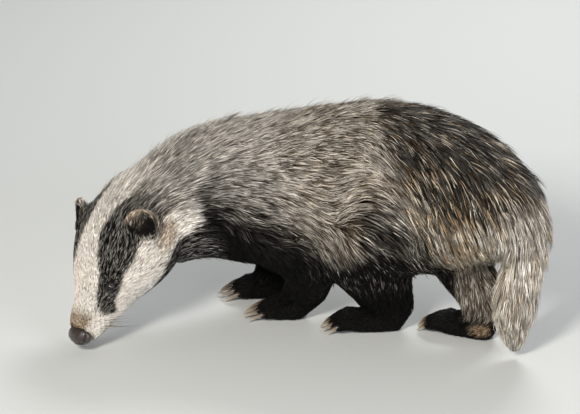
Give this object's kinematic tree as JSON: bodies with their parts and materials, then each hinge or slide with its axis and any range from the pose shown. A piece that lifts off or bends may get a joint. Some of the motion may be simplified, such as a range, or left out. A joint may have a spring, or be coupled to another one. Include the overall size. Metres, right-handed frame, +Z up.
{
  "type": "european badger",
  "caption": "Life-size badger standing with its striped head lowered and turned to its left, its nose just off the ground.",
  "frame": {"origin": "middle of the bottom of the whole animal's box, on the floor that it stands on", "axes": "+Z up, +X from the head towards the tail, +Y towards the animal's right side, away from the picture's camera"},
  "size_m": [0.5142, 0.2524, 0.2508],
  "materials": {
    "grey_fur": "grizzled guard hair",
    "black_fur": "short dark hair, bare claws",
    "white_fur": "cream hair",
    "nose_skin": "bare damp skin",
    "eye_wet": "wet eye"
  },
  "bodies": {
    "root": {"torso": "grey_fur", "neck": "grey_fur", "front_leg_left": "black_fur", "front_leg_right": "black_fur", "hind_leg_left": "black_fur", "hind_leg_right": "black_fur", "front_paw_left": "black_fur", "front_paw_right": "black_fur", "hind_paw_left": "black_fur", "hind_paw_right": "black_fur", "head": "white_fur", "tail": "white_fur", "ear_left": "white_fur", "ear_right": "white_fur", "nose": "nose_skin", "eye_left": "eye_wet", "eye_right": "eye_wet"}
  },
  "joints": []
}
